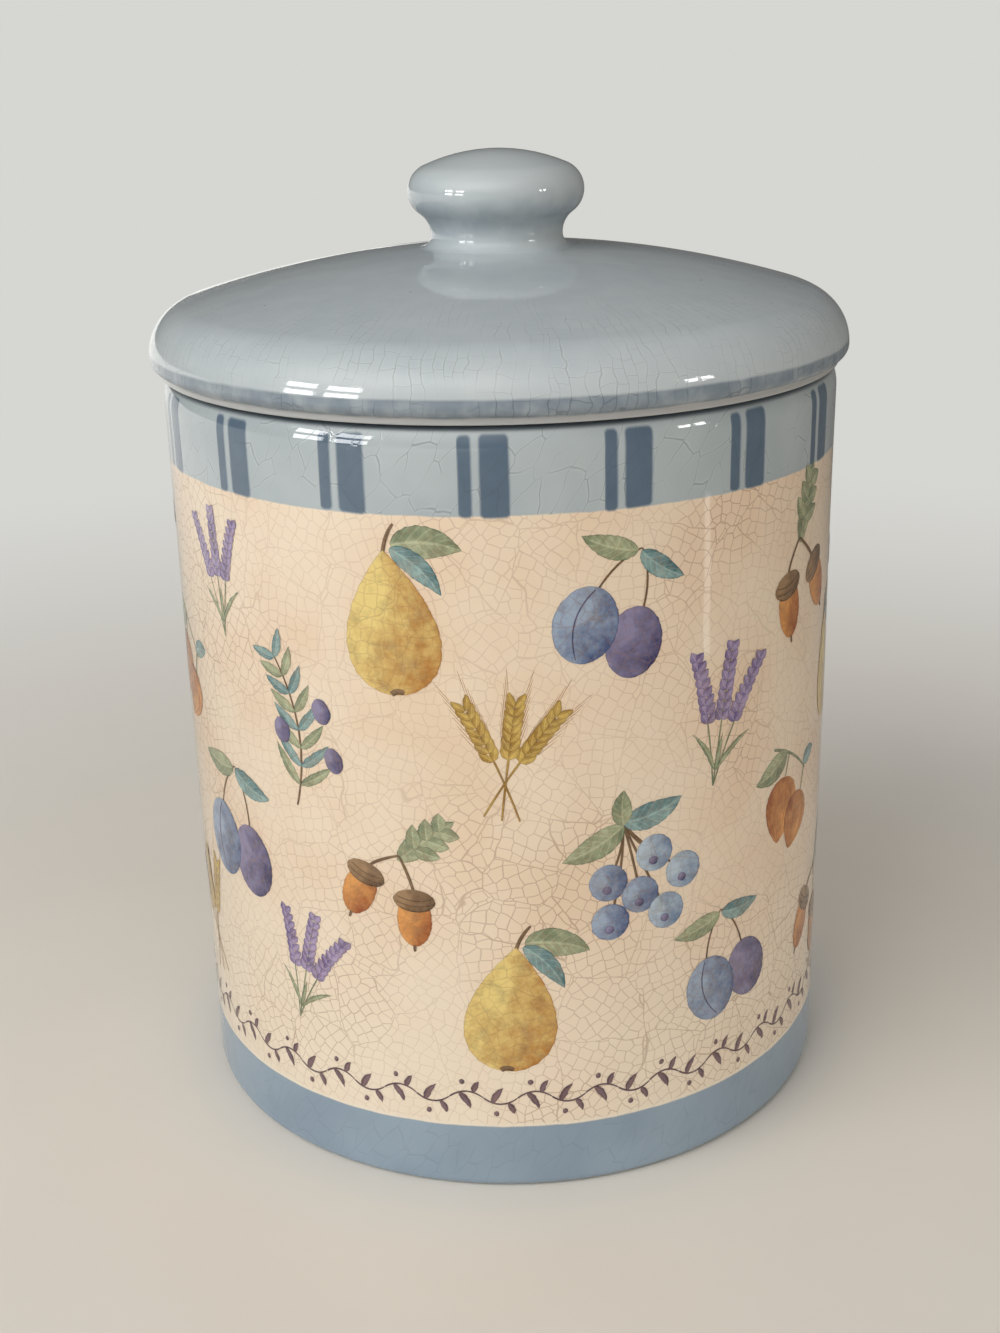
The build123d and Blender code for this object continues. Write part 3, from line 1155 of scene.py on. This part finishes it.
def fruit_shading(coat, along, side):
    """Fruit: round, lit from the left and above, with a soft light spot and a dark far edge."""
    rise = along * 2 - 1
    facing = -0.62 * side - 0.35 * rise
    spot = coat.length(coat.combine(side - 0.36, rise - 0.3, 0.0))
    return 0.4 + 0.55 * facing - 0.5 * coat.ramp(spot, 0.5, 0.05)


def stalk_shading(coat, along, side):
    """Stalk: darker on its right."""
    return 0.55 - 0.3 * side


# Stage
floor_size = 20.0
floor_cloud = 0.05
floor_fade_start, floor_fade_end = 0.08, 0.65
floor_mirrored_shares = (0.2, 1.7)
world_light, world_mirrored, world_glow = 0.2, 0.15, 3.0
white = (1.0, 1.0, 1.0)

# Soft lamps, each with its name, place, size, power and colour
soft_lamps = [
    ("soft_left", (-0.75, -0.75, 0.88), (1.1, 0.9), 10.8, (1.0, 0.98, 0.95)),
    ("soft_front", (0.2, -1.2, 0.88), (1.4, 1.0), 3.6, (1.0, 0.97, 0.92)),
    ("soft_right", (0.9, -0.6, 0.2), (0.9, 0.3), 1.3, (1.0, 0.82, 0.64)),
    ("soft_back", (0.3, 1.2, 0.22), (1.4, 0.4), 6.5, (1.0, 0.98, 0.96)),
]
streak_place, streak_aim = (0.323, -0.164, 0.047), (0.04, -0.065, 0.137)
streak_size, streak_power = (0.014, 0.055), 0.0045

# Windows, each with its name, azimuth, elevation, panes, size of a pane, gap between panes and power
window_distance = 1.2
windows = [
    ("left", math.radians(-56), math.radians(11), (2, 2), (0.24, 0.15), 0.08, 1.5),
    ("right", math.radians(62), math.radians(12), (2, 1), (0.09, 0.1), 0.03, 0.5),
]


def make_floor():
    """Plain pale table under the canister, which fades into the backdrop far from it.

    Its far part glows; glazes mirror it as a painted reflection, dark on the right and bright on the left.
    """
    coat = material("pale_table")
    colour = coat.mix(coat.noise(floor_cloud, 3.0), table, table_deep)
    coat.shade(Base_Color=colour, Roughness=0.6)
    far = coat.ramp(coat.length(coat.place), floor_fade_start, floor_fade_end)
    lit = Signal(coat, coat.tree.nodes["Principled BSDF"].outputs[0])
    seen = coat.node("LightPath", output="Is Camera Ray")
    mirrored = coat.node("LightPath", output="Is Glossy Ray")
    aside, _, _ = coat.split(coat.place)
    dark, bright = floor_mirrored_shares
    share = dark + coat.ramp(aside, floor_fade_start, -floor_fade_end) * (bright - dark)
    glow = coat.node("Emission", None, {"Color": backdrop, "Strength": seen + mirrored * share})
    coat.show("Material Output", coat.node("MixShader", None, {0: far * (seen + mirrored), 1: lit, 2: glow}))
    corners = [(-1, -1), (1, -1), (1, 1), (-1, 1)]
    mesh = bpy.data.meshes.new("floor")
    mesh.from_pydata([(x * floor_size, y * floor_size, 0) for x, y in corners], [], [(0, 1, 2, 3)])
    mesh.materials.append(coat.owner)
    linked("floor", mesh)


def make_world():
    """Even studio light, a plain pale backdrop for the camera, and in reflections a bright front left."""
    world = Finish(bpy.data.worlds.new("studio"), "Generated")
    bpy.context.scene.world = world.owner
    aside, ahead, rise = world.split(world.place)
    front = world.ramp(ahead, 0.3, -0.6) * world.ramp(aside, 0.7, -0.4)
    front = front * world.ramp(rise, 0.1, 0.6) * world.ramp(rise, 1.0, 0.6)
    lit = world.node("Background", None, {"Color": (*white, 1.0), "Strength": world_light})
    strength = world_mirrored + world_glow * front
    mirrored = world.node("Background", None, {"Color": backdrop, "Strength": strength})
    seen = world.node("Background", None, {"Color": backdrop})
    shader = lit
    for ray, background in (("Is Glossy Ray", mirrored), ("Is Camera Ray", seen)):
        path = world.node("LightPath", output=ray)
        shader = world.node("MixShader", None, {0: path, 1: shader, 2: background})
    world.show("World Output", shader)


def make_lamp(name, place, aim, size, power, colour, mirrored):
    """Rectangular lamp aimed at a point: a soft light, or else a bright card that glazes only mirror."""
    lamp = bpy.data.lights.new(name, "AREA")
    lamp.shape = "RECTANGLE"
    lamp.size, lamp.size_y = size
    lamp.energy = power
    lamp.color = colour
    made = linked(name, lamp)
    made.location = place
    made.visible_glossy = mirrored
    made.visible_diffuse = not mirrored
    made.rotation_euler = (Vector(aim) - Vector(place)).to_track_quat("-Z", "Y").to_euler()


def orbit(aim, azimuth, elevation):
    """Frame at a point whose Z points away from it, at an azimuth from the front and an elevation."""
    turn = Matrix.Rotation(azimuth, 4, "Z") @ Matrix.Rotation(math.pi / 2 - elevation, 4, "X")
    return Matrix.Translation(aim) @ turn


def make_window(name, azimuth, elevation, panes, pane_size, gap, power):
    """Far window of bright panes, columns by rows, seen at an azimuth from the front and an elevation."""
    middle = (0, 0, jar_height)
    facing = orbit(middle, azimuth, elevation)
    for column in range(panes[0]):
        for row in range(panes[1]):
            aside = (column - (panes[0] - 1) / 2) * (pane_size[0] + gap)
            above = (row - (panes[1] - 1) / 2) * (pane_size[1] + gap)
            place = facing @ Vector((aside, above, window_distance))
            make_lamp(f"{name}_{column}_{row}", place, middle, pane_size, power, white, True)


def make_camera():
    """Camera fitted to the photograph: in front of the jar, above it by an elevation, and rolled a little."""
    data = bpy.data.cameras.new("camera")
    data.sensor_width = sensor_size
    data.lens = focal_pixels * sensor_size / image_height
    data.clip_start = camera_clip_start
    facing = orbit(Vector(camera_aim_shares) * jar_radius, 0, camera_elevation)
    back = Matrix.Translation((0, 0, camera_distance_share * jar_radius))
    camera = linked("camera", data)
    camera.matrix_world = facing @ back @ Matrix.Rotation(camera_roll, 4, "Z")
    bpy.context.scene.camera = camera


bpy.context.scene.view_settings.view_transform = "Standard"
make_camera()
make_floor()
make_world()
jar_middle = (0, 0, jar_height / 2)
for name, place, size, power, colour in soft_lamps:
    make_lamp(name, place, jar_middle, size, power, colour, False)
make_lamp("streak", streak_place, streak_aim, streak_size, streak_power, white, True)
for window in windows:
    make_window(*window)

jar_coat, lid_coat, lining = jar_glaze(), lid_glaze(), lining_glaze()
foot_clay, rubber = bare_clay(), seal_silicone()
make_jar([jar_coat, lining, foot_clay])
make_lid([lid_coat, lining, foot_clay])
make_knob([lid_coat, foot_clay])
make_seal([rubber])
strokes = list(placed_strokes())
print_kinds = [
    ("stalk", stalk_shading, 0.0),
    ("leaf", leaf_shading, print_ragged),
    ("fruit", fruit_shading, print_ragged),
]
for kind, shading, ragged in print_kinds:
    print_piece(kind, strokes, print_finish(kind + "_print", shading, ragged))
